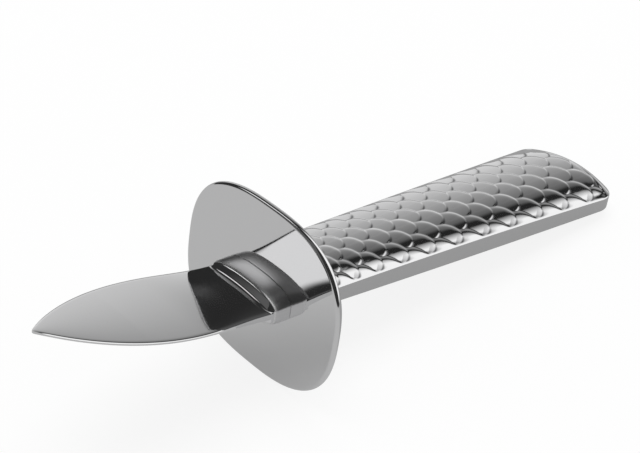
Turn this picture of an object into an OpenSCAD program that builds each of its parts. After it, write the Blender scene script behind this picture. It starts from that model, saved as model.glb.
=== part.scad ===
// Oyster knife: leaf blade with a domed bolster and a hidden tang, a hand guard plate,
// and a hollow crowned handle of two half shells round a cement core.
// Units are millimetres. The knife is drawn in its own knife frame and then laid down:
// the guard's front face is x = 0, the handle runs to +X, the blade to -X, and z = 0 is
// the seam plane of the handle. The finished part rests on the table z = 0 on the bottom
// of the guard and on the underside of the butt, centred on the Z axis.

/* [View] */

// Which sub-part to draw

/* [Blade] */

// Length of the blade from the guard's front face to the tip
blade_l = 55.6; // [45:0.1:70]
// Width of the blade where it leaves the bolster
neck_w = 20.8; // [16:0.1:24]
// Greatest width of the leaf
belly_w = 23.2; // [18:0.1:32]
// Distance of the greatest width from the guard
belly_x = 24; // [18:0.5:34]
// Height of the edge line above the seam plane at the guard
edge_z = 0.6; // [0:0.05:1]
// Rise of the edge line at the tip, the upsweep of the leaf
tip_rise = 7.7; // [3:0.1:12]
// Thickness of the edge at the neck
neck_edge_t = 1.7; // [1.2:0.05:2.2]
// Thickness of the dull edge round the leaf
leaf_edge_t = 0.6; // [0.4:0.05:1.2]
// How far each face of the leaf is crowned over its edge line at the belly
leaf_crown = 0.45; // [0.1:0.05:0.9]

/* [Bolster and tang] */

// Length of the domed bolster in front of the guard
bolster_l = 6.5; // [4.5:0.1:9]
// Width of the bolster at the guard
bolster_w = 21.2; // [16:0.1:24]
// Height of the bolster's crown above the seam plane
bolster_z = 4.2; // [3:0.1:5]
// Fullness of the dome across the blade, 2 is an ellipse and more is squarer
dome_full = 2.3; // [2:0.1:3]
// Bluntness of the bolster's nose, 2 is round and more is blunter
nose_full = 4; // [2:0.5:8]
// Width of the tang
tang_w = 12; // [8:0.5:15]
// Thickness of the tang
tang_t = 2.4; // [1.6:0.1:3]
// Length of the tang behind the guard's front face
tang_l = 62; // [40:1:80]

/* [Guard] */

// Width of the guard plate
guard_w = 48.8; // [40:0.1:60]
// Height of the guard plate
guard_h = 39.6; // [30:0.1:46]
// Thickness of the guard plate
guard_t = 1.6; // [1.2:0.1:2.4]
// Fullness of the guard's outline, 2 is an ellipse and more is squarer
guard_full = 2.65; // [2.2:0.05:3.2]

/* [Handle] */

// Length from the guard's front face to the butt
handle_l = 103.7; // [90:0.1:120]
// Width of the handle at the guard
front_w = 21; // [18:0.1:24]
// Width of the handle half way along
waist_w = 24.2; // [20:0.1:28]
// Width that the sides reach at the butt
butt_w = 28.3; // [24:0.1:34]
// Half height of the flat side band at the guard
band_front = 1.55; // [1:0.05:2]
// Half height of the flat side band half way along
band_mid = 2.2; // [1.2:0.05:2.5]
// Half height of the flat side band at the butt
band_butt = 1.45; // [1:0.05:2]
// Height of the crown above the seam plane at the guard
crown_front = 3.6; // [3:0.05:4.5]
// Height of the crown above the seam plane at the butt
crown_butt = 4.1; // [3.2:0.05:5.5]
// Radius of the butt's two corners in plan
corner_r = 5.75; // [3:0.25:7]
// Radius of the bowed end between the butt's corners
bow_r = 35.5; // [25:0.5:60]
// Length over which the crown rolls down to the band at the butt
roll_l = 5; // [3:0.25:8]
// Wall of the half shells
wall = 0.8; // [0.6:0.05:1]

/* [Fits] */

// Clearance round the tang in the guard and in the core, and round the core
fit_gap = 0.05; // [0.02:0.01:0.1]

/* [Hidden] */

$fn = 96;
eps = 0.01;

steel = [0.80, 0.81, 0.81];
satin_steel = [0.74, 0.75, 0.75];
cement = [0.45, 0.44, 0.42];

// Value at s of the parabola through a at 0, m at one half and b at 1.
function parabola(a, m, b, s) = a + s * (4 * m - 3 * a - b) + s * s * (2 * a - 4 * m + 2 * b);

// Plan half width, edge line and thicknesses of the leaf at distance u from the guard.
function ease(v) = (1 - cos(180 * max(0, min(1, v)))) / 2;
function leaf_half(u) = u < belly_x
    ? neck_w / 2 + (belly_w - neck_w) / 2 * ease((u - bolster_l) / (belly_x - bolster_l))
    : belly_w / 2 * pow(1 - pow(0.995 * (u - belly_x) / (blade_l - belly_x), 2.1), 0.9);
function leaf_z(u) = edge_z + tip_rise * (0.45 * u / blade_l + 0.55 * pow(u / blade_l, 2));
function leaf_edge(u) = leaf_edge_t + (neck_edge_t - leaf_edge_t) * (1 - ease(u / belly_x));
function leaf_bulge(u) = leaf_crown * min(1, 2 * leaf_half(u) / neck_w);

// Half width and rise of the bolster at distance u from the guard.
function bolster_half(u) = bolster_w / 2 * sqrt(1 - pow(u / bolster_l, 2 * nose_full));
function bolster_rise(u) = (bolster_z - edge_z) * sqrt(1 - pow(u / bolster_l, nose_full));

// Outline of the handle in plan: the sides run into corner arcs, and those into the bow.
butt_x = handle_l;
function side_half(x) = parabola(front_w / 2, waist_w / 2, butt_w / 2, x / handle_l);
function centre_x(y) = butt_x - bow_r + sqrt(pow(bow_r - corner_r, 2) - y * y);
function centre_y(n) = (n == 0 ? butt_w / 2 : side_half(centre_x(centre_y(n - 1)))) - corner_r;
corner_y = centre_y(4);
corner_x = centre_x(corner_y);
bow_angle = asin(corner_y / (bow_r - corner_r));
bow_x = butt_x - bow_r * (1 - cos(bow_angle));
function plan_half(x) = x <= corner_x ? side_half(x)
    : x < bow_x
    ? corner_y + sqrt(pow(corner_r, 2) - pow(x - corner_x, 2))
    : sqrt(max(0, pow(bow_r, 2) - pow(x - butt_x + bow_r, 2)));

// Height of the side band and of the handle's upper face.
function band_half(x) = parabola(band_front, band_mid, band_butt, x / handle_l);
function crown_rise(x) = crown_front + (crown_butt - crown_front) * x / handle_l - band_half(x);
function roll_off(x) = pow(1 - pow(max(0, min(1, (x - butt_x + roll_l) / roll_l)), 2.5), 0.7);
function crown_z(x, q) = band_half(x) + crown_rise(x) * roll_off(x) * (1 - q * q);

// Stations along the handle, closer together where the corners and the crown turn.
straight_x = [for (i = [0 : 11]) guard_t + (corner_x - guard_t) * i / 12];
corner_xs = [for (i = [0 : 7]) corner_x + corner_r * sin(i * (90 - bow_angle) / 8)];
bow_xs = [for (v = [1, 0.6, 0.3, 0.1, 0.01]) butt_x - (butt_x - bow_x) * v];
stations = concat(straight_x, corner_xs, bow_xs);

// Angle and height that lay the knife on the table on its guard and butt.
rim_r = guard_t / 2;
rim_drop = guard_h / 2 - rim_r;
function rest_angle(x) = let (rise = rim_drop - crown_z(x, 0), run = x - rim_r)
    atan(rise / run) + asin(rim_r / norm([rise, run]));
tilt = min([for (x = stations) rest_angle(x)]);
lift = rim_drop * cos(tilt) + rim_r * sin(tilt) + rim_r;
tip_z = edge_z + tip_rise - leaf_edge_t;
far_x = butt_x * cos(tilt) + band_butt * sin(tilt);
near_x = tip_z * sin(tilt) - blade_l * cos(tilt);

// Skin of a solid through rings of equal count, closed by a flat face at each end.
// The rings run anticlockwise seen from +X, in order along +X.
module loft(rings) {
    n = len(rings[0]);
    last = len(rings) - 1;
    walls = [
        for (k = [0 : last - 1], i = [0 : n - 1])
            let (a = k * n + i, b = k * n + (i + 1) % n)
            each [[a, b + n, b], [a, a + n, b + n]]
    ];
    caps = [[for (i = [0 : n - 1]) i], [for (i = [n - 1 : -1 : 0]) last * n + i]];
    polyhedron(points = [for (r = rings) each r], faces = concat(walls, caps), convexity = 6);
}

module lay_down() {
    translate([-(far_x + near_x) / 2, 0, lift])
        rotate([0, tilt, 0])
            children();
}

// One section of the leaf, crowned above and below its edge.
function leaf_ring(u) = let (w = leaf_half(u), z = leaf_z(u), e = leaf_edge(u), c = leaf_bulge(u))
    concat(
        [for (i = [0 : 12]) let (q = cos(15 * i)) [-u, w * q, z + c * (1 - q * q)]],
        [for (i = [0 : 12]) let (q = -cos(15 * i)) [-u, w * q, z - e - c * (1 - q * q)]]
    );

module leaf() {
    loft(concat(
        [for (i = [16 : -1 : 1]) leaf_ring(belly_x + (blade_l - belly_x) * sin(i * 90 / 16))],
        [for (i = [10 : -1 : 1]) leaf_ring(bolster_l + (belly_x - bolster_l) * i / 10)],
        [leaf_ring(bolster_l), leaf_ring(0)]
    ));
}

// One section of the bolster: a full dome above, flat sides and the same dome below.
function bolster_ring(u) =
    let (w = bolster_half(u), h = bolster_rise(u), p = 2 / dome_full)
    concat(
        [for (i = [0 : 16]) let (c = cos(11.25 * i), s = sin(11.25 * i))
            [-u, w * sign(c) * pow(abs(c), p), edge_z + h * pow(abs(s), p)]],
        [for (i = [0 : 16]) let (c = -cos(11.25 * i), s = sin(11.25 * i))
            [-u, w * sign(c) * pow(abs(c), p), edge_z - neck_edge_t - h * pow(abs(s), p)]]
    );

module bolster() {
    loft([for (i = [14 : -1 : 0]) bolster_ring(bolster_l * sin(6 * i))]);
}

module tang(gap) {
    translate([-1, -tang_w / 2 - gap, -tang_t / 2 - gap])
        cube([tang_l + 1 + gap, tang_w + 2 * gap, tang_t + 2 * gap]);
}

module blade() {
    color(satin_steel)
        lay_down()
            union() {
                leaf();
                bolster();
                tang(0);
            }
}

// Outline of the guard at depth x, drawn in by inset all round.
function guard_ring(x, inset) = [
    for (i = [0 : 95])
        let (c = cos(i * 3.75), s = sin(i * 3.75), p = 2 / guard_full)
        [
            x,
            (guard_w / 2 - inset) * sign(c) * pow(abs(c), p),
            (guard_h / 2 - inset) * sign(s) * pow(abs(s), p)
        ]
];

module guard() {
    color(steel)
        lay_down()
            difference() {
                loft([
                    for (i = [0 : 6])
                        guard_ring(rim_r - rim_r * cos(i * 30), rim_r - rim_r * sin(i * 30))
                ]);
                tang(fit_gap);
            }
}

// Section of the handle's upper half at x, drawn in by inset and closed at height base.
function shell_ring(x, inset, base) =
    let (w = plan_half(min(butt_x - eps, x + inset)) - inset)
    concat(
        [[x, w, base]],
        [for (i = [0 : 16]) let (q = cos(11.25 * i)) [x, w * q, crown_z(x + inset, q) - inset]],
        [[x, -w, base]]
    );

module half_handle(inset, front, base) {
    loft(concat(
        [shell_ring(front, inset, base)],
        [for (i = [1 : len(stations) - 1]) shell_ring(stations[i] - inset, inset, base)]
    ));
}

module half_shell() {
    difference() {
        half_handle(0, guard_t, 0);
        half_handle(wall, guard_t - 1, -1);
    }
}

module handle_upper_shell() {
    color(steel)
        lay_down()
            half_shell();
}

module handle_lower_shell() {
    color(steel)
        lay_down()
            mirror([0, 0, 1])
                half_shell();
}

module handle_core() {
    color(cement)
        lay_down()
            difference() {
                union() {
                    half_handle(wall + fit_gap, guard_t + fit_gap, 0);
                    mirror([0, 0, 1])
                        half_handle(wall + fit_gap, guard_t + fit_gap, 0);
                }
                tang(fit_gap);
            }
}

blade();
guard();
handle_upper_shell();
handle_lower_shell();
handle_core();
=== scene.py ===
"""Oyster knife: the dressed blade, guard and fish-scale handle, and the studio they lie in."""

import math
from types import SimpleNamespace

import bmesh
import bpy
from bpy.props import FloatProperty, FloatVectorProperty, PointerProperty
from bpy.types import Operator, Panel, PropertyGroup
from mathutils import Euler, Matrix, Vector


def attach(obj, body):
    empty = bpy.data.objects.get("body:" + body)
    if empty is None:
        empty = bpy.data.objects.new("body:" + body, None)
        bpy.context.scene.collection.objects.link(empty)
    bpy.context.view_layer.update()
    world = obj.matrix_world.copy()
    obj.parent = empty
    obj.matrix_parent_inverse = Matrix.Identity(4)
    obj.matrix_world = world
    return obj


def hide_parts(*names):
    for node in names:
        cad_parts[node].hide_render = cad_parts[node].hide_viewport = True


bl_info = {
    "name": "Oyster Knife",
    "version": (1, 0, 0),
    "blender": (4, 5, 0),
    "location": "View3D > Sidebar > Oyster Knife",
    "description": "Builds an oyster knife with a fish-scale handle round its CAD frame",
    "category": "Object",
}

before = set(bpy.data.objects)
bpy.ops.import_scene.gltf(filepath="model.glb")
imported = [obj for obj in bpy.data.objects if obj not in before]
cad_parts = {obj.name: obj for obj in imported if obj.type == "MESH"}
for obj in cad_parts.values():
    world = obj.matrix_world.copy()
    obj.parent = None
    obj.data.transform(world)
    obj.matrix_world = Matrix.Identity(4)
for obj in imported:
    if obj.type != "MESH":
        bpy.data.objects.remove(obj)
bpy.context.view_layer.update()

MM = 0.001
MERGED = 1e-8  # Points nearer than this become one.
LEVEL = 1e-7  # Points nearer to a plane than this lie on it.
SHARP = 0.7  # Faces that meet at more than this, about 40 degrees, meet at a corner.


def length(name, millimetres, description):
    """A size in metres, given here in millimetres."""
    return FloatProperty(
        name=name, description=description, default=millimetres * MM, min=0.0, unit="LENGTH",
        precision=5,
    )


def share(name, value, description):
    """A plain number from 0 to 1."""
    return FloatProperty(
        name=name, description=description, default=value, min=0.0, max=1.0, subtype="FACTOR",
    )


def number(name, value, description):
    """A plain number."""
    return FloatProperty(name=name, description=description, default=value, min=0.0, max=100.0)


def tone(name, red, green, blue, description):
    """A colour."""
    return FloatVectorProperty(
        name=name, description=description, default=(red, green, blue), min=0.0, max=1.0,
        size=3, subtype="COLOR",
    )


class BladeSizes(PropertyGroup):
    blade_length: length("Blade length", 55.6, "From the guard's front face to the tip")
    neck_width: length("Neck width", 20.8, "Width of the blade where it leaves the bolster")
    belly_width: length("Belly width", 23.2, "Greatest width of the leaf")
    belly_distance: length("Belly distance", 24, "Distance of the greatest width from the guard")
    edge_height: length("Edge height", 0.6, "Edge line above the handle's seam at the guard")
    tip_rise: length("Tip rise", 7.7, "How far the leaf sweeps up to its tip")
    neck_edge: length("Neck edge", 1.7, "Thickness of the edge at the neck")
    leaf_edge: length("Leaf edge", 0.6, "Thickness of the dull edge round the leaf")
    leaf_crown: length("Leaf crown", 0.55, "How far each face of the leaf is crowned")
    neck_swell: length("Neck swell", 0.4, "How much fuller the faces are at the neck")
    edge_roll: length("Edge roll", 0.12, "How far the faces roll down beside the leaf's edges")
    edge_round: length("Edge rounding", 0.2, "Rounding of the leaf's edges")
    bolster_length: length("Bolster length", 6.5, "Length of the dome in front of the guard")
    bolster_width: length("Bolster width", 21.2, "Width of the dome at the guard")
    bolster_height: length("Bolster height", 4.2, "Height of the dome above the seam")
    dome_fullness: number("Dome fullness", 2.3, "2 is an ellipse, and more is squarer")
    dome_sag: length("Dome sag", 0.8, "How far the dome's top falls towards its nose")
    nose_slope: number("Nose slope", 1.6, "Steepness of the nose below the dome's top")
    nose_round: length("Nose rounding", 0.25, "Rounding between the dome's top and its nose")
    nose_fullness: number("Nose fullness", 4, "2 is round in plan, and more is blunter")
    nose_fillet: length("Nose fillet", 0.45, "Fillet between the dome's nose and the leaf")
    underside: share("Underside", 0.5, "Share of its depth that the bolster keeps underneath")
    joint_round: length("Joint rounding", 0.18, "Rounding where the bolster meets the guard")
    tang_width: length("Tang width", 12, "Width of the hidden tang")
    tang_thickness: length("Tang thickness", 2.4, "Thickness of the hidden tang")
    tang_length: length("Tang length", 62, "Length of the tang behind the guard's front face")


class GuardSizes(PropertyGroup):
    width: length("Guard width", 48.78, "Width of the guard plate")
    height: length("Guard height", 39.58, "Height of the guard plate")
    thickness: length("Guard thickness", 1.6, "Thickness of the guard plate")
    fullness: number("Guard fullness", 2.65, "2 is an ellipse, and more is squarer")
    slot_gap: length("Slot gap", 0.05, "Clearance of the slot round the tang")


class HandleSizes(PropertyGroup):
    handle_length: length("Handle length", 103.7, "From the guard's front face to the butt")
    front_width: length("Front width", 21, "Width of the handle at the guard")
    waist_width: length("Waist width", 24.2, "Width of the handle half way along")
    butt_width: length("Butt width", 28.3, "Width that the sides reach at the butt")
    band_front: length("Band at guard", 1.6, "Half height of the side band at the guard")
    band_mid: length("Band half way", 2.1, "Half height of the side band half way along")
    band_butt: length("Band at butt", 1.55, "Half height of the side band at the butt")
    crown_front: length("Crown at guard", 3.55, "Height of the crown above the seam at the guard")
    crown_mid: length("Crown half way", 4, "Height of the crown above the seam half way along")
    crown_butt: length("Crown at butt", 4.05, "Height of the crown above the seam at the butt")
    corner_radius: length("Corner radius", 5.75, "Radius of the butt's two corners")
    bow_radius: length("Bow radius", 35.5, "Radius of the butt's bowed end")
    roll_length: length("Roll length", 5, "Length over which the crown rolls down at the butt")
    wall: length("Wall", 0.7, "Wall of the half shells")
    crease_round: length("Crease rounding", 0.22, "Rounding between the crown and the side band")


class ScaleRelief(PropertyGroup):
    row_share: share("Row share", 0.27544, "Spacing of the scale rows over the half width")
    first_tip: length("First tip", 17.278, "Distance of a scale's tip from the guard")
    pitch_start: length("Pitch at guard", 5.632, "Length of a scale at the guard")
    pitch_end: length("Pitch at butt", 8.9302, "Length of a scale towards the butt")
    pitch_growth: number("Pitch growth", 4.1055, "Half scales over which the pitch grows")
    drop: length("Drop", 0.32, "How far a scale drops from its tip to its hidden root")
    lean: length("Lean", 0.06, "How much higher a scale's +Y side lies than its middle")
    step_slope: number("Step slope", 0.135, "Steepness of a scale's rim on its -Y side")
    step_round: length("Step rounding", 0.06, "Rounding of a scale's rim on its -Y side")
    roll_slope: number("Roll slope", 0.22, "Steepness of a scale's rim on its +Y side")
    roll_round: length("Roll rounding", 0.42, "Rounding of a scale's rim on its +Y side")
    tip_slope: number("Tip slope", 0.15, "Added steepness of a scale's rim at its tip")
    sink: length("Sink", 0.12, "Mean depth of the scales, by which they are lifted again")
    side_border: share("Side border", 0.985, "Share of the half width that the scales fill")
    side_depth: share("Side depth", 0.45, "Share of its depth that the outermost row keeps")
    butt_border: length("Butt border", 2.6, "Smooth border at the butt")
    step_along: length("Step along", 0.24, "Length of the handle's mesh cells")
    step_across: length("Step across", 0.14, "Width of the handle's mesh cells")


class KnifeFinish(PropertyGroup):
    steel: tone("Steel", 0.80, 0.80, 0.805, "Colour of the polished steel")
    # Painted shade: the dark colour painted at the foot of each scale's rim, on its -Y side.
    painted_rim_shade: tone("Painted rim shade", 0.08, 0.08, 0.085, "Colour at the foot of a scale's rim")
    cement: tone("Cement", 0.30, 0.29, 0.27, "Colour of the cement in the handle")
    polish: share("Polish roughness", 0.045, "Roughness of the polished steel")
    satin: share("Satin roughness", 0.26, "Added roughness of the bolster's dome")


class KnifeStudio(PropertyGroup):
    floor: tone("Floor", 0.55, 0.55, 0.55, "Tone of the floor that the steel mirrors")
    shade: share("Shade", 0.15, "How strongly the knife's shadow shows on the floor")
    fill: share("Fill", 0.6, "Level of the plain light from all round")
    key: share("Key", 0.4, "Level of the soft lamp overhead")
    lens: number("Lens", 90.0, "Focal length in mm on a 36 mm sensor")


class KnifeSettings(PropertyGroup):
    blade: PointerProperty(type=BladeSizes)
    guard: PointerProperty(type=GuardSizes)
    handle: PointerProperty(type=HandleSizes)
    scales: PointerProperty(type=ScaleRelief)
    finish: PointerProperty(type=KnifeFinish)
    studio: PointerProperty(type=KnifeStudio)


def chosen(context, group):
    """The values of one group of settings as plain numbers and tuples."""
    values = getattr(context.scene.oyster_knife, group)
    names = [name for name in values.bl_rna.properties.keys() if name not in ("rna_type", "name")]
    read = {name: getattr(values, name) for name in names}
    return SimpleNamespace(
        **{name: tuple(v) if hasattr(v, "__len__") else v for name, v in read.items()}
    )


# Forms


def clamp(value, low=0.0, high=1.0):
    return max(low, min(high, value))


def parabola(start, middle, end, along):
    """The parabola through start at 0, middle at one half and end at 1."""
    return (
        start
        + along * (4 * middle - 3 * start - end)
        + along * along * (2 * start - 4 * middle + 2 * end)
    )


def ease(value):
    return (1 - math.cos(math.pi * clamp(value))) / 2


def smooth(value, low, high):
    """0 below low, 1 above high and an S curve between."""
    part = clamp((value - low) / (high - low))
    return part * part * (3 - 2 * part)


class LeafForm:
    """Half width, edge line and thickness of the leaf at a distance from the guard."""

    tip_start, tip_bend, tip_close = 0.995, 2.1, 0.9
    early_rise, late_rise = 0.45, 0.55
    roll_width, tip_width = 0.8 * MM, 2 * MM

    def __init__(self, blade):
        self.blade = blade

    def half(self, distance):
        b = self.blade
        if distance < b.belly_distance:
            reach = (distance - b.bolster_length) / (b.belly_distance - b.bolster_length)
            return b.neck_width / 2 + (b.belly_width - b.neck_width) / 2 * ease(reach)
        reach = (distance - b.belly_distance) / (b.blade_length - b.belly_distance)
        drawn = clamp(self.tip_start * reach) ** self.tip_bend
        return b.belly_width / 2 * (1 - drawn) ** self.tip_close

    def top(self, distance):
        b = self.blade
        reach = distance / b.blade_length
        swept = self.early_rise * reach + self.late_rise * reach * reach
        return b.edge_height + b.tip_rise * swept

    def edge(self, distance):
        b = self.blade
        thicker = 1 - ease(distance / b.belly_distance)
        return b.leaf_edge + (b.neck_edge - b.leaf_edge) * thicker

    def bulge(self, distance):
        b = self.blade
        behind = (distance - b.bolster_length) / (b.belly_distance - b.bolster_length)
        full = b.leaf_crown + b.neck_swell * (1 - ease(behind))
        return full * min(1.0, 2 * self.half(distance) / b.neck_width)

    def crown(self, distance, y):
        """How far the face stands over the edge line: crowned, and rolled down at the edge."""
        half = self.half(distance)
        across = clamp(abs(y) / half) if half > 0 else 1.0
        from_edge = half * (1 - across)
        roll = self.blade.edge_roll * clamp(1 - from_edge / self.roll_width) ** 2
        roll *= min(1.0, half / self.tip_width)
        return self.bulge(distance) * (1 - across * across) - roll


class HandleForm:
    """Where the handle's surfaces run, in the knife's own frame."""

    roll_bend, roll_close = 2.5, 0.7

    def __init__(self, handle, front):
        self.handle = handle
        self.front = front
        self.butt = handle.handle_length
        radius, bow = handle.corner_radius, handle.bow_radius
        self.centre_y = handle.butt_width / 2 - radius
        for _ in range(4):
            reach = math.sqrt((bow - radius) ** 2 - self.centre_y ** 2)
            self.centre_x = self.butt - bow + reach
            self.centre_y = self.side_half(self.centre_x) - radius
        self.bow_angle = math.asin(self.centre_y / (bow - radius))
        self.bow_start = self.butt - bow + bow * math.cos(self.bow_angle)

    def side_half(self, x):
        h = self.handle
        return parabola(h.front_width, h.waist_width, h.butt_width, x / h.handle_length) / 2

    def plan_half(self, x):
        h = self.handle
        if x <= self.centre_x:
            return self.side_half(x)
        if x < self.bow_start:
            return self.centre_y + math.sqrt(h.corner_radius ** 2 - (x - self.centre_x) ** 2)
        inner = h.bow_radius ** 2 - (x - self.butt + h.bow_radius) ** 2
        return math.sqrt(max(inner, 0.0))

    def band_half(self, x):
        h = self.handle
        return parabola(h.band_front, h.band_mid, h.band_butt, x / h.handle_length)

    def crown(self, x, y):
        """Height of the smooth crown over a point of the plan."""
        h = self.handle
        half = self.plan_half(x)
        across = clamp(abs(y) / half) if half > 1e-9 else 1.0
        rise = parabola(h.crown_front, h.crown_mid, h.crown_butt, x / h.handle_length)
        rise -= self.band_half(x)
        rolled = clamp((x - self.butt + h.roll_length) / h.roll_length)
        kept = (1 - rolled ** self.roll_bend) ** self.roll_close
        return self.band_half(x) + rise * kept * (1 - across * across)

    def side_point(self, along):
        """Point and outward normal of the +Y side, from the guard (0) to mid corner (1)."""
        h = self.handle
        straight = self.centre_x - self.front
        middle = (math.pi / 2 + self.bow_angle) / 2
        distance = along * (straight + h.corner_radius * (math.pi / 2 - middle))
        if distance <= straight:
            x = self.front + distance
            slope = (self.side_half(x + MM) - self.side_half(x - MM)) / (2 * MM)
            return Vector((x, self.side_half(x))), Vector((-slope, 1)).normalized()
        angle = math.pi / 2 - (distance - straight) / h.corner_radius
        normal = Vector((math.cos(angle), math.sin(angle)))
        return Vector((self.centre_x, self.centre_y)) + normal * h.corner_radius, normal

    def butt_point(self, across):
        """Point and outward normal of the butt, from mid corner (-1) to mid corner (1)."""
        h = self.handle
        middle = (math.pi / 2 + self.bow_angle) / 2
        bowed = h.bow_radius * self.bow_angle
        distance = abs(across) * (bowed + h.corner_radius * (middle - self.bow_angle))
        if distance <= bowed:
            angle = distance / h.bow_radius
            centre, radius = Vector((self.butt - h.bow_radius, 0)), h.bow_radius
        else:
            angle = self.bow_angle + (distance - bowed) / h.corner_radius
            centre, radius = Vector((self.centre_x, self.centre_y)), h.corner_radius
        normal = Vector((math.cos(angle), math.sin(angle)))
        point = centre + normal * radius
        if across < 0:
            point.y, normal.y = -point.y, -normal.y
        return point, normal

    def plan_point(self, along, across, inset):
        """A point of the plan, drawn in by inset, with the outline spread evenly inside."""
        side, side_out = self.side_point(along)
        side = side - side_out * inset
        butt, butt_out = self.butt_point(across)
        butt = butt - butt_out * inset
        corner, corner_out = self.side_point(1.0)
        corner = corner - corner_out * inset
        return Vector((
            side.x + along * (butt.x - corner.x),
            across * side.y + along * (butt.y - across * corner.y),
        ))


class ScaleForm:
    """The overlapping fish scales, which lie under the smooth crown.

    Rows are counted across the handle, with its middle half way between two of them. The
    scales of one row lie two half scales apart, and those of the next row one further on.
    """

    middle_row, full_rows, fading_rows = 4.5, 1.5, 2
    reach = 1.35  # Half scales from a scale's middle to the furthest point that it covers.
    foot_gap = 0.075 * MM  # Two scales this near in level share the foot of a rim.
    side_fade, butt_fade, lift_fade = 0.12, 0.4 * MM, 6 * MM

    def __init__(self, scales, form):
        self.scales = scales
        self.form = form
        self.grow = (scales.pitch_end - scales.pitch_start) / 2 * scales.pitch_growth
        self.start = scales.first_tip - self.grow

    def count(self, x):
        """Half scales from the first tip to x, and the length of half a scale there."""
        s = self.scales
        if x <= s.first_tip:
            return (x - s.first_tip) / (s.pitch_start / 2), s.pitch_start / 2
        number = (x - self.start) / (s.pitch_end / 2)
        for _ in range(6):
            fall = math.exp(-number / s.pitch_growth)
            here = self.start + s.pitch_end / 2 * number + self.grow * fall
            pitch = s.pitch_end / 2 - self.grow / s.pitch_growth * fall
            number += (x - here) / pitch
        return number, pitch

    def depth(self, x, y):
        """Depth of the relief at a point, and how near it is to the foot of a rim, where shade is
        painted.
        """
        s = self.scales
        number, pitch = self.count(x)
        spacing = self.form.side_half(x) * s.row_share
        row = y / spacing + self.middle_row
        first = math.floor(row) - 1
        heights = []
        for line in range(first, first + 4):
            outward = (abs(line - self.middle_row) - self.full_rows) / self.fading_rows
            keep = 1 - (1 - s.side_depth) * clamp(outward)
            centre = math.ceil(number - self.reach)
            centre += (centre - line) % 2
            for middle in (centre, centre + 2):
                ahead, aside = number - middle, row - line
                away = math.hypot(ahead, aside)
                level = s.lean * aside - s.drop * (1 - ahead) / 2
                level = keep * (level + s.sink) - s.sink
                if away > 0.1:
                    steep = math.hypot(ahead / pitch, aside / spacing) / away
                    part = smooth(aside / away, -0.35, 0.35)
                    slope = s.step_slope + (s.roll_slope - s.step_slope) * part
                    slope += s.tip_slope * max(0.0, ahead / away) ** 2
                    turn = s.step_round + (s.roll_round - s.step_round) * part
                    past = (away - 1) / steep + turn / 2
                    level -= math.sqrt(keep) * slope * (math.hypot(past, turn) + past) / 2
                heights.append((level, away, ahead, aside))
        heights.sort(reverse=True)
        upper, lower = heights[:2]
        foot = 1 - clamp((upper[0] - lower[0]) / self.foot_gap)
        # Painted shade only on the rim's -Y side, and not round its tip.
        _, away, ahead, aside = max(upper, lower, key=lambda height: height[1])
        foot *= 1 - smooth(aside / away, -0.35, 0.1)
        foot *= 1 - smooth(ahead / away, 0.7, 1.0)
        return -upper[0], foot

    def cover(self, x, y):
        """1 where the scales are at their full depth, fading to 0 at the smooth border."""
        s, form = self.scales, self.form
        across = abs(y) / form.side_half(x)
        side = 1 - smooth(across, s.side_border - self.side_fade, s.side_border)
        low, high = s.butt_border - self.butt_fade, s.butt_border + self.butt_fade
        return side * smooth(self.from_butt(x, y), low, high)

    def from_butt(self, x, y):
        """Distance from the butt's bowed end."""
        bow = self.form.handle.bow_radius
        return bow - math.hypot(max(x - self.form.butt + bow, 0.0), y)

    def lift(self, x, y):
        """How far the scales are lifted, so that they neither sink nor swell the handle."""
        border = self.scales.butt_border
        return self.scales.sink * smooth(self.from_butt(x, y), border, border + self.lift_fade)


# Mesh helpers


def spread(bm, rows, columns, place):
    """Adds a grid and lets place(point, row share, column share) move each of its points."""
    made = bmesh.ops.create_grid(bm, x_segments=rows, y_segments=columns, size=0.5)["verts"]
    for vert in made:
        row = round((vert.co.x + 0.5) * rows) / rows
        column = round((vert.co.y + 0.5) * columns) / columns
        place(vert, row, column)
    return made


def open_edges(verts):
    """The open edges round a sheet."""
    return list({edge for vert in verts for edge in vert.link_edges if edge.is_boundary})


def drawn_out(bm, edges, place):
    """Extrudes open edges, lets place(point) move the new points, returns the new edges."""
    made = bmesh.ops.extrude_edge_only(bm, edges=edges)["geom"]
    verts = {item for item in made if isinstance(item, bmesh.types.BMVert)}
    for vert in verts:
        place(vert)
    rim = [item for item in made if isinstance(item, bmesh.types.BMEdge)]
    return [edge for edge in rim if verts.issuperset(edge.verts)]


def crisp(bm, chosen_edge=lambda edge: True):
    """Marks the chosen edges sharp at which two faces meet at a corner."""
    for edge in bm.edges:
        if len(edge.link_faces) == 2 and edge.calc_face_angle(0.0) > SHARP and chosen_edge(edge):
            edge.smooth = False


def finished(context, bm, name, material, node):
    """Makes the mesh an object that stands for its CAD node, lying on the table."""
    bmesh.ops.recalc_face_normals(bm, faces=bm.faces)
    bmesh.ops.transform(bm, matrix=lying(context), verts=bm.verts)
    mesh = bpy.data.meshes.new(name)
    for face in bm.faces:
        face.smooth = True
    bm.to_mesh(mesh)
    bm.free()
    mesh.materials.append(material)
    piece = bpy.data.objects.new(name, mesh)
    context.scene.collection.objects.link(piece)
    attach(piece, "root")
    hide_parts(node)
    return piece


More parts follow.
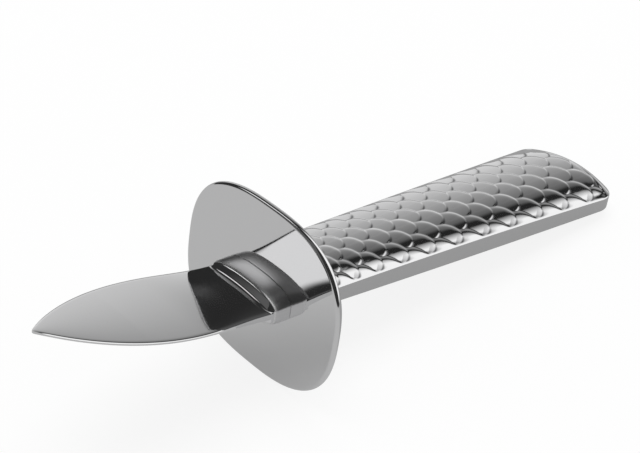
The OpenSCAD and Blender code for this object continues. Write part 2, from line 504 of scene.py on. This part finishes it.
def lying(context):
    """The matrix that lays the knife on the table, on its guard's rim and its butt."""
    handle, guard = chosen(context, "handle"), chosen(context, "guard")
    blade = chosen(context, "blade")
    form = HandleForm(handle, guard.thickness)
    rim = guard.thickness / 2
    drop = guard.height / 2 - rim
    tilts, steps = [], 800
    for step in range(steps):
        x = form.front + (form.butt - form.front) * (step + 0.5) / steps
        rise, run = drop - form.crown(x, 0), x - rim
        tilts.append(math.atan2(rise, run) + math.asin(rim / math.hypot(rise, run)))
    tilt = min(tilts)
    lift = drop * math.cos(tilt) + rim * math.sin(tilt) + rim
    tip = blade.edge_height + blade.tip_rise - blade.leaf_edge
    far = form.butt * math.cos(tilt) + handle.band_butt * math.sin(tilt)
    near = tip * math.sin(tilt) - blade.blade_length * math.cos(tilt)
    turned = Matrix.Rotation(tilt, 4, "Y")
    return Matrix.Translation((-(far + near) / 2, 0, lift)) @ turned


# Materials


class Wire:
    """One output of a node tree. Sums on wires add Math nodes to the tree."""

    def __init__(self, tree, socket=None):
        self.tree = tree
        self.socket = socket

    def node(self, kind, settings=None, sockets=None, output=0):
        """Adds any node: its settings first, then the values or wires of its sockets."""
        made = self.tree.nodes.new(kind)
        for name, value in (settings or {}).items():
            if name == "stops":
                ramp = made.color_ramp.elements
                for number, (place, level) in enumerate(value):
                    stop = ramp[number] if number < 2 else ramp.new(place)
                    stop.position = place
                    stop.color = (level, level, level, 1.0)
            else:
                setattr(made, name, value)
        for name, value in (sockets or {}).items():
            if isinstance(value, Wire):
                self.tree.links.new(value.socket, made.inputs[name])
            else:
                made.inputs[name].default_value = value
        return Wire(self.tree, made.outputs[output]) if len(made.outputs) else None

    def math(self, operation, first, second=0.0):
        return self.node("ShaderNodeMath", {"operation": operation}, {0: first, 1: second})

    def __add__(self, other):
        return self.math("ADD", self, other)

    def __radd__(self, other):
        return self.math("ADD", other, self)

    def __sub__(self, other):
        return self.math("SUBTRACT", self, other)

    def __rsub__(self, other):
        return self.math("SUBTRACT", other, self)

    def __mul__(self, other):
        return self.math("MULTIPLY", self, other)

    def __rmul__(self, other):
        return self.math("MULTIPLY", other, self)

    def axis(self, name):
        """One coordinate of a vector."""
        return self.node("ShaderNodeSeparateXYZ", {}, {"Vector": self}, name)

    def blend(self, first, second):
        """The first colour where this is 0, the second where it is 1."""
        return self.node(
            "ShaderNodeMix", {"data_type": "RGBA"},
            {"Factor": self, 6: (*first, 1.0), 7: (*second, 1.0)}, 2,
        )

    def step(self, low, high):
        """0 below low, 1 above high and an S curve between."""
        return self.node(
            "ShaderNodeMapRange", {"interpolation_type": "SMOOTHSTEP"},
            {"Value": self, "From Min": low, "From Max": high},
        )

    def between(self, low, high, soft):
        """1 between low and high and 0 outside, with soft ends."""
        return self.step(low - soft, low + soft) * (1 - self.step(high - soft, high + soft))


def new_material(name):
    """An empty material and the wire to build it from."""
    material = bpy.data.materials.new(name)
    material.use_nodes = True
    material.node_tree.nodes.clear()
    return material, Wire(material.node_tree)


def polished_steel(finish):
    """Mirror-polished steel with faint lengthwise polishing marks."""
    material, wire = new_material("polished_steel")
    place = wire.node("ShaderNodeTexCoord", output="Object")
    stretched = wire.node(
        "ShaderNodeMapping", {}, {"Vector": place, "Scale": (120.0, 2600.0, 2600.0)}
    )
    marks = wire.node(
        "ShaderNodeTexNoise", {}, {"Vector": stretched, "Scale": 1.0, "Detail": 3.0}
    )
    cloud = wire.node("ShaderNodeTexNoise", {}, {"Vector": place, "Scale": 90.0, "Detail": 2.0})
    dome = wire.node("ShaderNodeAttribute", {"attribute_name": "dome"}, {}, "Fac")
    steel = wire.node(
        "ShaderNodeBsdfPrincipled", {},
        {
            "Base Color": (*finish.steel, 1.0),
            "Metallic": 1.0,
            "Roughness": finish.polish - 0.02 + cloud * 0.02 + marks * 0.02 + dome * finish.satin,
        },
    )
    wire.node("ShaderNodeOutputMaterial", {}, {"Surface": steel})
    return material


def scaled_steel(finish):
    """The handle's steel, with painted shade: darker at the foot of each scale's rim."""
    material, wire = new_material("scaled_steel")
    place = wire.node("ShaderNodeTexCoord", output="Object")
    cloud = wire.node("ShaderNodeTexNoise", {}, {"Vector": place, "Scale": 110.0, "Detail": 3.0})
    # The foot attribute paints shade into the steel's colour.
    foot = wire.node("ShaderNodeAttribute", {"attribute_name": "foot"}, {}, "Fac")
    steel = wire.node(
        "ShaderNodeBsdfPrincipled", {},
        {
            "Base Color": foot.blend(finish.steel, finish.painted_rim_shade),
            "Metallic": 1.0,
            "Roughness": finish.polish - 0.015 + cloud * 0.03 + foot * 0.15,
        },
    )
    wire.node("ShaderNodeOutputMaterial", {}, {"Surface": steel})
    return material


def grey_cement(finish):
    """Grey cement with grains and pores."""
    material, wire = new_material("handle_cement")
    place = wire.node("ShaderNodeTexCoord", output="Object")
    grain = wire.node("ShaderNodeTexNoise", {}, {"Vector": place, "Scale": 900.0, "Detail": 6.0})
    pores = wire.node("ShaderNodeTexVoronoi", {}, {"Vector": place, "Scale": 700.0}, "Distance")
    dark = tuple(0.6 * part for part in finish.cement)
    bump = wire.node(
        "ShaderNodeBump", {}, {"Height": grain + pores.step(0.0, 0.3), "Distance": 0.1 * MM}
    )
    cement = wire.node(
        "ShaderNodeBsdfPrincipled", {},
        {
            "Base Color": grain.blend(dark, finish.cement),
            "Roughness": 0.85 + grain * 0.1,
            "Normal": bump,
        },
    )
    wire.node("ShaderNodeOutputMaterial", {}, {"Surface": cement})
    return material


# Pieces


def joint_distance(joint, number, rows):
    """Distance from the guard of a row of points on the rounding at the guard."""
    return joint * (1 - math.cos(math.pi / 2 * number / rows))


def joint_pull(joint, distance):
    """How far the rounding at the guard draws a surface in."""
    shrink = max(0.0, joint - distance)
    return joint - math.sqrt(joint ** 2 - shrink ** 2)


def add_leaf(bm, blade):
    """The crowned, upswept leaf as one closed skin."""
    form = LeafForm(blade)
    across, rows, joint_rows = 48, 200, 6
    ring = 2 * (across + 1)
    joint, tip = blade.joint_round, 0.9996 * blade.blade_length
    crowding = 0.15  # How much closer the points stand towards the edges.

    def place(vert, row, column):
        number = round(row * rows)
        if number <= joint_rows:
            distance = joint_distance(joint, number, joint_rows)
        else:
            reach = math.sin(math.pi / 2 * (number - joint_rows) / (rows - joint_rows))
            distance = joint + (tip - joint) * reach
        number = round(column * ring) % ring
        upper = number <= across
        turn = math.pi * (number % (across + 1)) / across
        part = math.cos(turn + crowding * math.sin(2 * turn)) * (1 if upper else -1)
        pull = joint_pull(joint, distance)
        half = form.half(distance) - pull
        lift = form.crown(distance, form.half(distance) * part) - pull
        height = form.top(distance)
        height = height + lift if upper else height - form.edge(distance) - lift
        vert.co = (-distance, half * part, height)

    made = spread(bm, rows, ring, place)
    bmesh.ops.remove_doubles(bm, verts=made, dist=MERGED)
    verts = [vert for vert in bm.verts if vert.is_valid]
    bmesh.ops.holes_fill(bm, edges=open_edges(verts), sides=0)
    corners = [
        edge for edge in bm.edges
        if len(edge.link_faces) == 2 and edge.calc_face_angle(0.0) > SHARP
        and edge.verts[0].co.x < -joint and edge.verts[1].co.x < -joint
    ]
    bmesh.ops.bevel(
        bm, geom=corners, offset=blade.edge_round, segments=3, profile=0.5,
        affect="EDGES", material=-1, clamp_overlap=True,
    )


def add_bolster(bm, blade):
    """The pillow-shaped bolster, flatter underneath: a fillet runs from its nose to the leaf."""
    leaf = LeafForm(blade)
    wide, tall = blade.bolster_width / 2, blade.bolster_height - blade.edge_height
    middle = blade.edge_height - blade.neck_edge / 2
    power, blunt = 2 / blade.dome_fullness, blade.nose_fullness
    joint, fillet = blade.joint_round, blade.nose_fillet
    rows, columns, joint_rows = 96, 120, 6
    first = math.asin(joint / blade.bolster_length)
    last = math.radians(88.5)

    def place(vert, row, column):
        number = round(row * rows)
        if number <= joint_rows:
            distance = joint_distance(joint, number, joint_rows)
        else:
            turn = first + (last - first) * (number - joint_rows) / (rows - joint_rows)
            distance = blade.bolster_length * math.sin(turn)
        part = distance / blade.bolster_length
        pull = joint_pull(joint, distance)
        turn_c, turn_s = math.cos(math.pi * column), math.sin(math.pi * column)
        half = wide * math.sqrt(1 - part ** (2 * blunt)) - pull
        y = half * math.copysign(abs(turn_c) ** power, turn_c)
        top = tall - blade.dome_sag * part ** 2
        nose = (blade.bolster_length - distance) * blade.nose_slope
        rise = (top + nose - math.hypot(top - nose, blade.nose_round)) / 2
        lift = (rise - pull) * abs(turn_s) ** power
        height = blade.edge_height + lift
        over = height - leaf.top(distance) - leaf.crown(distance, y)
        ahead = 2 * blunt * part ** (2 * blunt - 1) / blade.bolster_length
        out = Vector((ahead, 2 * y / wide ** 2))
        out = out.normalized() if out.length > 0 else Vector((1.0, 0.0))
        near = clamp(1 - over / fillet)
        flare = fillet * (1 - math.sqrt(1 - near * near)) * smooth(out.x, 0.3, 0.8)
        vert.co = (-distance - out.x * flare, y + out.y * flare, height)

    def to_middle(vert):
        vert.co.z = middle

    made = spread(bm, rows, columns, place)
    drawn_out(bm, open_edges(made), to_middle)
    known = set(made)
    below = {edge.other_vert(vert) for vert in made for edge in vert.link_edges} - known
    verts = list(known | below)
    faces = list({face for vert in verts for face in vert.link_faces})
    bmesh.ops.mirror(
        bm, geom=verts + faces, matrix=Matrix.Translation((0, 0, -middle)), merge_dist=LEVEL,
        axis="Z",
    )
    bmesh.ops.remove_doubles(bm, verts=bm.verts, dist=MERGED)
    flat_from = middle - blade.neck_edge / 2 - blade.leaf_crown - blade.neck_swell
    for vert in bm.verts:
        if vert.co.z < flat_from:
            vert.co.z = flat_from + (vert.co.z - flat_from) * blade.underside


def blade_mesh(context):
    """The blade: leaf, bolster and tang."""
    blade = chosen(context, "blade")
    bm = bmesh.new()
    add_leaf(bm, blade)
    dome = bm.verts.layers.float.new("dome")
    leaf_verts = len(bm.verts)
    bolster = bmesh.new()
    add_bolster(bolster, blade)
    shape = bpy.data.meshes.new("bolster")
    bolster.to_mesh(shape)
    bolster.free()
    bm.from_mesh(shape)
    bpy.data.meshes.remove(shape)
    for vert in list(bm.verts)[leaf_verts:]:
        from_nose = (blade.bolster_length + vert.co.x) / blade.bolster_length
        vert[dome] = smooth(from_nose, 0.25, 0.4)
    tang = bmesh.ops.create_cube(bm, size=1.0)["verts"]
    bmesh.ops.scale(
        bm, verts=tang, vec=(blade.tang_length + MM, blade.tang_width, blade.tang_thickness)
    )
    bmesh.ops.translate(bm, verts=tang, vec=((blade.tang_length - MM) / 2, 0, 0))
    bmesh.ops.bevel(
        bm, geom=list({edge for vert in tang for edge in vert.link_edges}), offset=0.2 * MM,
        segments=2, profile=0.5, affect="EDGES", material=-1,
    )
    return bm


def guard_mesh(context):
    """The guard: a flat plate with a fully rounded rim and a slot for the tang."""
    guard, blade = chosen(context, "guard"), chosen(context, "blade")
    rim, power = guard.thickness / 2, 2 / guard.fullness
    slot = (blade.tang_width / 2 + guard.slot_gap, blade.tang_thickness / 2 + guard.slot_gap)
    turns, columns = 24, 360
    inner, outer = 3 * MM, rim + 0.03 * MM
    profile = [(0.0, None), (0.0, inner), (0.0, outer)]
    for step in range(turns + 1):
        angle = math.pi * step / turns
        profile.append((rim - rim * math.cos(angle), rim - rim * math.sin(angle)))
    profile += [(guard.thickness, inset) for inset in (outer, inner, None)]
    profile.append((0.0, None))

    def place(vert, row, column):
        x, inset = profile[round(row * (len(profile) - 1))]
        column %= 1.0
        turn_c, turn_s = math.cos(column * math.tau), math.sin(column * math.tau)
        if inset is None:
            reach = min(slot[0] / max(abs(turn_c), 1e-9), slot[1] / max(abs(turn_s), 1e-9))
            vert.co = (x, reach * turn_c, reach * turn_s)
        else:
            y = (guard.width / 2 - inset) * math.copysign(abs(turn_c) ** power, turn_c)
            z = (guard.height / 2 - inset) * math.copysign(abs(turn_s) ** power, turn_s)
            vert.co = (x, y, z)

    bm = bmesh.new()
    spread(bm, len(profile) - 1, columns, place)
    bmesh.ops.remove_doubles(bm, verts=bm.verts, dist=MERGED)
    crisp(bm)
    return bm


def half_shell_mesh(context):
    """The handle's upper half shell, with its fish scales, round its cavity."""
    handle, guard = chosen(context, "handle"), chosen(context, "guard")
    scales = chosen(context, "scales")
    form = HandleForm(handle, guard.thickness)
    relief = ScaleForm(scales, form)
    bm = bmesh.new()
    # foot carries the painted shade at the foot of each scale's rim.
    foot = bm.verts.layers.float.new("foot")
    corner = bm.verts.layers.float_vector.new("corner")
    start = bm.verts.layers.float_vector.new("start")
    crease = handle.crease_round

    def keep_corner(vert, row, across, inset):
        """Notes where the outline runs beside a point on the rim of a skin."""
        if row == 1:
            point, out = form.butt_point(across)
        elif abs(across) == 1:
            point, out = form.side_point(row)
            point.y, out.y = point.y * across, out.y * across
        else:
            return
        point = point - out * inset
        vert[corner] = (point.x, point.y, form.band_half(point.x))
        vert[start] = vert.co

    def outer(vert, row, column):
        across = 2 * column - 1
        plan = form.plan_point(row, across, crease)
        height = form.crown(plan.x, plan.y)
        cover = relief.cover(plan.x, plan.y)
        if cover > 0:
            deep, near = relief.depth(plan.x, plan.y)
            height -= (deep - relief.lift(plan.x, plan.y)) * cover
            vert[foot] = near * min(1.0, 4 * cover)
        vert.co = (plan.x, plan.y, height)
        keep_corner(vert, row, across, 0.0)

    def inner(vert, row, column):
        across = 2 * column - 1
        over = form.plan_point(row, across, 0.0)
        plan = form.plan_point(row, across, handle.wall)
        vert.co = (plan.x, plan.y, form.crown(over.x, over.y) - handle.wall)

    def behind_front(edges):
        return [e for e in edges if max(v.co.x for v in e.verts) > form.front + LEVEL]

    rows = 4 * round((form.butt - form.front) / scales.step_along / 4)
    columns = 4 * round(handle.waist_width / scales.step_across / 4)
    edges = behind_front(open_edges(spread(bm, rows, columns, outer)))
    for turn in (0.2, 0.4, 0.6, 0.8, 1.0):

        def round_over(vert, turn=turn):
            low = vert[corner] - Vector((0, 0, crease))
            straight = vert[start].lerp(vert[corner], turn)
            vert.co = straight.lerp(vert[corner].lerp(low, turn), turn)

        edges = drawn_out(bm, edges, round_over)

    def to_seam(vert):
        vert.co.z = 0

    drawn_out(bm, edges, to_seam)
    lining = spread(bm, rows // 4, columns // 4, inner)
    drawn_out(bm, behind_front(open_edges(lining)), to_seam)
    bmesh.ops.bridge_loops(bm, edges=[edge for edge in bm.edges if edge.is_boundary])
    bmesh.ops.recalc_face_normals(bm, faces=bm.faces)
    bm.verts.layers.float_vector.remove(bm.verts.layers.float_vector["start"])
    bm.verts.layers.float_vector.remove(bm.verts.layers.float_vector["corner"])

    def at_an_end(edge):
        height = max(abs(vert.co.z) for vert in edge.verts)
        return height < LEVEL or max(vert.co.x for vert in edge.verts) < form.front + LEVEL

    crisp(bm, at_an_end)
    return bm


# Operators


class MakeBlade(Operator):
    """Build the blade: the leaf, the domed bolster and the hidden tang"""

    bl_idname = "oyster_knife.make_blade"
    bl_label = "Make Blade"

    def execute(self, context):
        steel = polished_steel(chosen(context, "finish"))
        finished(context, blade_mesh(context), "knife_blade", steel, "blade")
        return {"FINISHED"}


class MakeGuard(Operator):
    """Build the guard: a flat plate with a rounded rim and a slot for the tang"""

    bl_idname = "oyster_knife.make_guard"
    bl_label = "Make Guard"

    def execute(self, context):
        steel = polished_steel(chosen(context, "finish"))
        finished(context, guard_mesh(context), "knife_guard", steel, "guard")
        return {"FINISHED"}


class MakeHandle(Operator):
    """Build the two half shells of the handle with their fish scales"""

    bl_idname = "oyster_knife.make_handle"
    bl_label = "Make Handle"

    def execute(self, context):
        steel = scaled_steel(chosen(context, "finish"))
        upper = half_shell_mesh(context)
        lower = upper.copy()
        bmesh.ops.scale(lower, verts=lower.verts, vec=(1, 1, -1))
        finished(context, upper, "handle_upper", steel, "handle_upper_shell")
        finished(context, lower, "handle_lower", steel, "handle_lower_shell")
        return {"FINISHED"}


class FinishCore(Operator):
    """Give the handle's core its cement"""

    bl_idname = "oyster_knife.finish_core"
    bl_label = "Finish Core"

    def execute(self, context):
        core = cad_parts["handle_core"]
        core.data.materials.clear()
        core.data.materials.append(grey_cement(chosen(context, "finish")))
        return {"FINISHED"}


class SetStudio(Operator):
    """Set the floor, the lights, the backdrop and the camera"""

    bl_idname = "oyster_knife.set_studio"
    bl_label = "Set Studio"

    def execute(self, context):
        studio = chosen(context, "studio")
        set_floor(context, studio)
        set_lights(context, studio)
        set_backdrop(context, studio)
        set_camera(context, studio)
        context.scene.view_settings.view_transform = "Standard"
        return {"FINISHED"}


def set_floor(context, studio):
    """A pale floor: white to the camera, shaded by the knife, and darker in the steel.

    The guard mirrors the part before it, and the handle's band the part beside it, where shade is
    painted so that the band mirrors a darker floor.
    """
    material, wire = new_material("studio_floor")

    def lit(level, shade):
        """A surface of this level in plain light, of which this share takes shadows."""
        own = wire.node("ShaderNodeBsdfDiffuse", {}, {"Color": (*[level * shade] * 3, 1.0)})
        steady = wire.node("ShaderNodeEmission", {}, {"Color": (*[level * (1 - shade)] * 3, 1.0)})
        return wire.node("ShaderNodeAddShader", {}, {0: own, 1: steady})

    def mixed(factor, first, second):
        """One surface or the other, by this factor."""
        return wire.node("ShaderNodeMixShader", {}, {0: factor, 1: first, 2: second})

    seen = wire.node("ShaderNodeLightPath", output="Is Camera Ray")
    mirrored = wire.node("ShaderNodeLightPath", output="Is Glossy Ray")
    plain = wire.node("ShaderNodeBsdfDiffuse", {}, {"Color": (*studio.floor, 1.0)})
    x = wire.node("ShaderNodeTexCoord", output="Object").axis("X")
    # Painted shade: beside the handle, the floor that the steel mirrors is darker by this factor.
    shadowed, painted_shade_factor = 0.45, 0.72
    before = lit(studio.floor[0], shadowed)
    beside = lit(studio.floor[0] * painted_shade_factor, shadowed)
    steel = mixed(mirrored, plain, mixed(x.step(-15 * MM, 0.0), before, beside))
    floor = mixed(seen, steel, lit(1.0, studio.shade))
    wire.node("ShaderNodeOutputMaterial", {}, {"Surface": floor})
    bm = bmesh.new()
    bmesh.ops.create_grid(bm, x_segments=1, y_segments=1, size=4.0)
    mesh = bpy.data.meshes.new("studio_floor")
    bm.to_mesh(mesh)
    bm.free()
    mesh.materials.append(material)
    floor = bpy.data.objects.new("studio_floor", mesh)
    context.scene.collection.objects.link(floor)


def set_lights(context, studio):
    """One large soft lamp overhead. The steel sees the backdrop's softbox instead of it."""
    height, width, width_loss = 1.2, 0.9, 1.1
    lamp = bpy.data.lights.new("soft_lamp", "AREA")
    lamp.size = width
    lamp.energy = studio.key * math.pi ** 2 * height ** 2 * width_loss
    holder = bpy.data.objects.new("soft_lamp", lamp)
    holder.location = (0.1, 0.15, height)
    holder.visible_glossy = False
    context.scene.collection.objects.link(holder)


def set_backdrop(context, studio):
    """A white backdrop; the steel sees the studio's wall, flag, softbox and window instead."""
    world = context.scene.world or bpy.data.worlds.new("studio")
    context.scene.world = world
    world.use_nodes = True
    world.node_tree.nodes.clear()
    wire = Wire(world.node_tree)
    place = wire.node("ShaderNodeTexCoord", output="Generated")
    x, y, height = (place.axis(name) for name in "XYZ")
    turn = y.math("ARCTAN2", y, x) * (180 / math.pi)
    up = height.math("ARCSINE", height) * (180 / math.pi)
    # Beside the handle, by the angle round the knife's axis from the horizon behind it (0)
    # to the near one (180): a long wall that fades upwards, a black flag, and a softbox.
    round_axis = y.math("ARCTAN2", height, y) * (180 / math.pi)
    wall_foot, wall_top, flag, softbox = 0.8, 0.13, 0.02, 1.1
    tones = [(0, wall_foot), (60, wall_top), (63, flag), (67, flag), (74, softbox)]
    right = wire.node(
        "ShaderNodeValToRGB", {"stops": [(angle / 180, level) for angle, level in tones]},
        {"Fac": round_axis * (1 / 180)},
    )
    # The dark side of the studio, beyond the tip, with one leaning window high up. Its
    # directions are in degrees: round the vertical, and up from the horizon.
    dark, paler, pane, lean, window_middle = 0.03, 0.08, 1.0, 0.4, 36
    slant = turn - (up - window_middle) * lean
    window = slant.between(112, 130, 1.2) * up.between(28, 55, 2.0)
    left = dark + slant.step(136, 150) * paler + window * (pane - dark)
    side = x.step(0.1, 0.35)
    wall = left * (1 - side) + right * side
    below = up.step(-1.0, 0.0)
    wall = wall * below + (1 - below) * studio.floor[0]
    camera = wire.node("ShaderNodeLightPath", output="Is Camera Ray")
    glossy = wire.node("ShaderNodeLightPath", output="Is Glossy Ray")
    clear = wire.node("ShaderNodeLightPath", output="Is Transmission Ray")
    level = glossy * wall + camera + clear + (1 - glossy - camera - clear) * studio.fill
    backdrop = wire.node("ShaderNodeBackground", {}, {"Color": level, "Strength": 1.0})
    wire.node("ShaderNodeOutputWorld", {}, {"Surface": backdrop})


def set_camera(context, studio):
    """The photograph's viewing angle."""
    data = bpy.data.cameras.new("camera")
    data.lens = studio.lens
    data.sensor_width = 36.0
    data.clip_start, data.clip_end = 0.01, 20.0
    camera = bpy.data.objects.new("camera", data)
    camera.location = (-0.187853, -0.204575, 0.229755)
    turn = (math.radians(53.40526), math.radians(-0.91864), math.radians(-40.70974))
    camera.rotation_euler = Euler(turn, "XYZ")
    context.scene.collection.objects.link(camera)
    context.scene.camera = camera


class KnifePanel(Panel):
    """The knife's operators and settings in the sidebar"""

    bl_idname = "VIEW3D_PT_oyster_knife"
    bl_label = "Oyster Knife"
    bl_space_type = "VIEW_3D"
    bl_region_type = "UI"
    bl_category = "Oyster Knife"

    def draw(self, context):
        column = self.layout.column(align=True)
        for operator in OPERATORS:
            column.operator(operator.bl_idname)
        settings = context.scene.oyster_knife
        for group in ("blade", "guard", "handle", "scales", "finish", "studio"):
            values = getattr(settings, group)
            box = self.layout.box()
            box.label(text=group.capitalize())
            for name in values.bl_rna.properties.keys():
                if name not in ("rna_type", "name"):
                    box.prop(values, name)


GROUPS = (
    BladeSizes, GuardSizes, HandleSizes, ScaleRelief, KnifeFinish, KnifeStudio, KnifeSettings,
)
OPERATORS = (MakeBlade, MakeGuard, MakeHandle, FinishCore, SetStudio)


def register():
    for made in (*GROUPS, *OPERATORS, KnifePanel):
        bpy.utils.register_class(made)
    bpy.types.Scene.oyster_knife = PointerProperty(type=KnifeSettings)


def unregister():
    del bpy.types.Scene.oyster_knife
    for made in reversed((*GROUPS, *OPERATORS, KnifePanel)):
        bpy.utils.unregister_class(made)


def main():
    register()
    bpy.ops.oyster_knife.make_blade()
    bpy.ops.oyster_knife.make_guard()
    bpy.ops.oyster_knife.make_handle()
    bpy.ops.oyster_knife.finish_core()
    bpy.ops.oyster_knife.set_studio()


if __name__ == "__main__":
    main()
